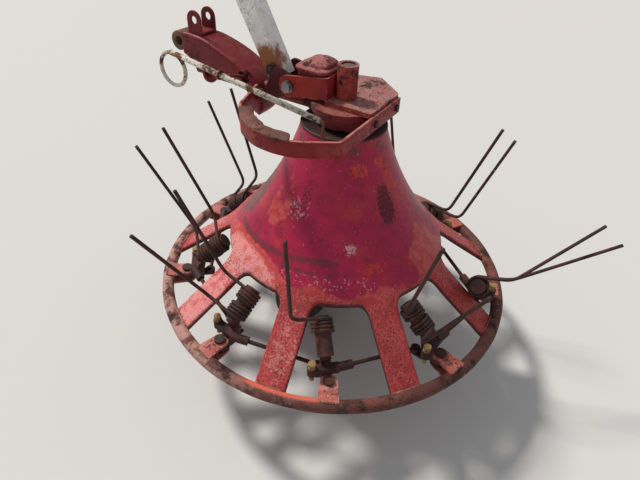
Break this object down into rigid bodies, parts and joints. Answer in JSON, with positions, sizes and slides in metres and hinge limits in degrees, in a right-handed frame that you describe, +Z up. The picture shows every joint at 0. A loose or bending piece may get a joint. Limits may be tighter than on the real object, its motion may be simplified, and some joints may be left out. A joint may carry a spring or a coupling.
{
  "type": "hay tedder rotor unit",
  "caption": "Hay tedder rotor unit: flared bell on a tube ring with coil-spring tines, gear housing, guard bow, carrier arm and support wheel.",
  "frame": {"origin": "centre of the hinge bore across the inner end of the carrier arm", "axes": "+X along the arm to the rotor, the machine's right; +Y forward along the hinge bore; +Z up"},
  "size_m": [1.3001, 1.0604, 1.1988],
  "materials": {
    "faded_red": "faded and pitted",
    "casting_red": "dull, dirty paint on a casting",
    "orange_red": "newer red paint",
    "ring_brown": "red paint worn to brown rust",
    "dark_rust": "dark brown rust",
    "bright_bolt": "zinc plated",
    "brass_head": "tarnished",
    "weathered_white": "weathered off-white paint",
    "barrel_rust": "rusty bare steel",
    "stem_steel": "greasy and stained",
    "tyre_rubber": "matt",
    "wheel_red": "dull"
  },
  "bodies": {
    "frame": {"gear_housing": "casting_red", "housing_cover": "casting_red", "input_housing": "casting_red", "clevis_strap": "orange_red", "clevis_bolt": "bright_bolt", "guard_bow": "casting_red", "bow_bolts": "dark_rust", "carrier_arm": "casting_red", "hinge_barrel": "barrel_rust", "arm_ears": "casting_red", "arm_gusset": "casting_red", "brace_strut": "weathered_white", "strut_pin": "dark_rust", "drive_tube": "casting_red", "drive_hanger": "casting_red", "lever_rod": "weathered_white", "rod_guide": "casting_red", "wheel_stem": "stem_steel", "axle_crank": "stem_steel"},
    "rotor": {"rotor_bell": "faded_red", "rotor_ring": "ring_brown", "ring_lugs": "faded_red", "rotor_hub": "casting_red", "pivot_pins": "dark_rust", "adjuster_pins": "brass_head", "link_rods": "dark_rust", "tine_holder_1": "dark_rust", "tine_holder_2": "dark_rust", "tine_holder_3": "dark_rust", "tine_holder_4": "dark_rust", "tine_holder_5": "dark_rust", "tine_holder_6": "dark_rust", "tine_holder_7": "dark_rust", "tine_holder_8": "dark_rust", "tine_holder_9": "dark_rust", "spring_tines_1": "dark_rust", "spring_tines_2": "dark_rust", "spring_tines_3": "dark_rust", "spring_tines_4": "dark_rust", "spring_tines_5": "dark_rust", "spring_tines_6": "dark_rust", "spring_tines_7": "dark_rust", "spring_tines_8": "dark_rust", "spring_tines_9": "dark_rust"},
    "wheel": {"wheel_hub": "wheel_red", "wheel_rim": "wheel_red", "tyre": "tyre_rubber"}
  },
  "joints": [
    {"name": "rotor_spin", "type": "hinge", "parent": "frame", "child": "rotor", "pos_m": [0.52, 0, -0.6], "axis": [0, 0, 1], "continuous": true},
    {"name": "wheel_spin", "type": "hinge", "parent": "frame", "child": "wheel", "pos_m": [0.442, 0.03, -0.666], "axis": [1, 0, 0], "continuous": true}
  ]
}
